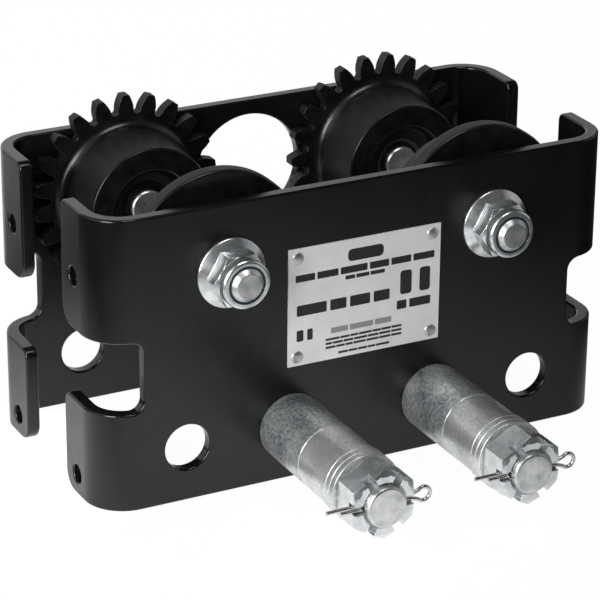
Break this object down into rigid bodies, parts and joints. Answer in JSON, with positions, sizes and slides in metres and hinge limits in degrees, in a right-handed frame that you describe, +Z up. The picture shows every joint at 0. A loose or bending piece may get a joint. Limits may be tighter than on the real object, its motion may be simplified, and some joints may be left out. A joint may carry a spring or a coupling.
{
  "type": "beam trolley",
  "caption": "Push trolley that rolls on an I-beam's lower flange: two bent side plates with plain and geared wheels, tied by load bars with spacers and slotted nuts.",
  "frame": {"origin": "on the beam's centreline, midway between the axles, at the height where the wheel treads roll", "axes": "+X along the beam's travel direction, +Y towards the side plate with the geared wheels, +Z up"},
  "size_m": [0.27, 0.2423, 0.159],
  "materials": {
    "black_powder_coat": "semi-gloss black powder coat",
    "black_cast_iron": "black oxide on machined cast iron",
    "printed_aluminium": "satin anodised with black print",
    "aluminium_rivet": "satin",
    "zinc_turned": "turned, bright zinc plate",
    "zinc_bright": "bright zinc plate",
    "galvanised_dull": "mottled dark zinc",
    "galvanised_light": "light satin zinc",
    "bearing_steel": "ground and polished",
    "seal_rubber": "black rubber on steel",
    "brass_cage": "satin",
    "spring_steel": "oiled black",
    "nylon_insert": "dark teal nylon",
    "pin_steel": "bright drawn wire"
  },
  "bodies": {
    "frame": {"front_side_plate": "black_powder_coat", "rear_side_plate": "black_powder_coat", "rating_plate": "printed_aluminium", "rating_plate_rivets": "aluminium_rivet", "front_left_axle": "zinc_turned", "front_right_axle": "zinc_turned", "rear_left_axle": "zinc_turned", "rear_right_axle": "zinc_turned", "front_left_bearing_inner_ring": "bearing_steel", "front_right_bearing_inner_ring": "bearing_steel", "rear_left_bearing_inner_ring": "bearing_steel", "rear_right_bearing_inner_ring": "bearing_steel", "axle_circlips": "spring_steel", "axle_lock_nuts": "zinc_bright", "lock_nut_inserts": "nylon_insert", "left_load_bar": "zinc_turned", "right_load_bar": "zinc_turned", "left_long_spacer": "galvanised_dull", "right_long_spacer": "galvanised_dull", "left_short_spacer": "galvanised_light", "right_short_spacer": "galvanised_light", "front_left_inner_spacer": "galvanised_dull", "front_right_inner_spacer": "galvanised_dull", "rear_left_inner_spacer": "galvanised_dull", "rear_right_inner_spacer": "galvanised_dull", "inner_washers": "galvanised_light", "outer_washers": "galvanised_light", "castle_nuts": "zinc_bright", "cotter_pins": "pin_steel"},
    "front_left_wheel_body": {"front_left_wheel": "black_cast_iron", "front_left_bearing_outer_ring": "bearing_steel", "front_left_bearing_shields": "seal_rubber", "front_left_bearing_circlip": "spring_steel"},
    "front_left_ball_set": {"front_left_bearing_balls": "bearing_steel", "front_left_bearing_cage": "brass_cage"},
    "front_right_wheel_body": {"front_right_wheel": "black_cast_iron", "front_right_bearing_outer_ring": "bearing_steel", "front_right_bearing_shields": "seal_rubber", "front_right_bearing_circlip": "spring_steel"},
    "front_right_ball_set": {"front_right_bearing_balls": "bearing_steel", "front_right_bearing_cage": "brass_cage"},
    "rear_left_wheel_body": {"rear_left_geared_wheel": "black_cast_iron", "rear_left_bearing_outer_ring": "bearing_steel", "rear_left_bearing_shields": "seal_rubber", "rear_left_bearing_circlip": "spring_steel"},
    "rear_left_ball_set": {"rear_left_bearing_balls": "bearing_steel", "rear_left_bearing_cage": "brass_cage"},
    "rear_right_wheel_body": {"rear_right_geared_wheel": "black_cast_iron", "rear_right_bearing_outer_ring": "bearing_steel", "rear_right_bearing_shields": "seal_rubber", "rear_right_bearing_circlip": "spring_steel"},
    "rear_right_ball_set": {"rear_right_bearing_balls": "bearing_steel", "rear_right_bearing_cage": "brass_cage"}
  },
  "joints": [
    {"name": "front_left_wheel_spin", "type": "hinge", "parent": "frame", "child": "front_left_wheel_body", "pos_m": [-0.0692, -0.034, 0.032], "axis": [0, 1, 0], "continuous": true},
    {"name": "front_left_ball_set_spin", "type": "hinge", "parent": "frame", "child": "front_left_ball_set", "pos_m": [-0.0692, -0.034, 0.032], "axis": [0, 1, 0], "continuous": true},
    {"name": "front_right_wheel_spin", "type": "hinge", "parent": "frame", "child": "front_right_wheel_body", "pos_m": [0.0692, -0.034, 0.032], "axis": [0, 1, 0], "continuous": true},
    {"name": "front_right_ball_set_spin", "type": "hinge", "parent": "frame", "child": "front_right_ball_set", "pos_m": [0.0692, -0.034, 0.032], "axis": [0, 1, 0], "continuous": true},
    {"name": "rear_left_wheel_spin", "type": "hinge", "parent": "frame", "child": "rear_left_wheel_body", "pos_m": [-0.0692, 0.034, 0.032], "axis": [0, 1, 0], "continuous": true},
    {"name": "rear_left_ball_set_spin", "type": "hinge", "parent": "frame", "child": "rear_left_ball_set", "pos_m": [-0.0692, 0.034, 0.032], "axis": [0, 1, 0], "continuous": true},
    {"name": "rear_right_wheel_spin", "type": "hinge", "parent": "frame", "child": "rear_right_wheel_body", "pos_m": [0.0692, 0.034, 0.032], "axis": [0, 1, 0], "continuous": true},
    {"name": "rear_right_ball_set_spin", "type": "hinge", "parent": "frame", "child": "rear_right_ball_set", "pos_m": [0.0692, 0.034, 0.032], "axis": [0, 1, 0], "continuous": true}
  ],
  "couplings": [
    {"joint": "front_left_ball_set_spin", "follows": "front_left_wheel_spin", "ratio": 0.6184},
    {"joint": "front_right_ball_set_spin", "follows": "front_right_wheel_spin", "ratio": 0.6184},
    {"joint": "rear_left_ball_set_spin", "follows": "rear_left_wheel_spin", "ratio": 0.6184},
    {"joint": "rear_right_ball_set_spin", "follows": "rear_right_wheel_spin", "ratio": 0.6184}
  ]
}
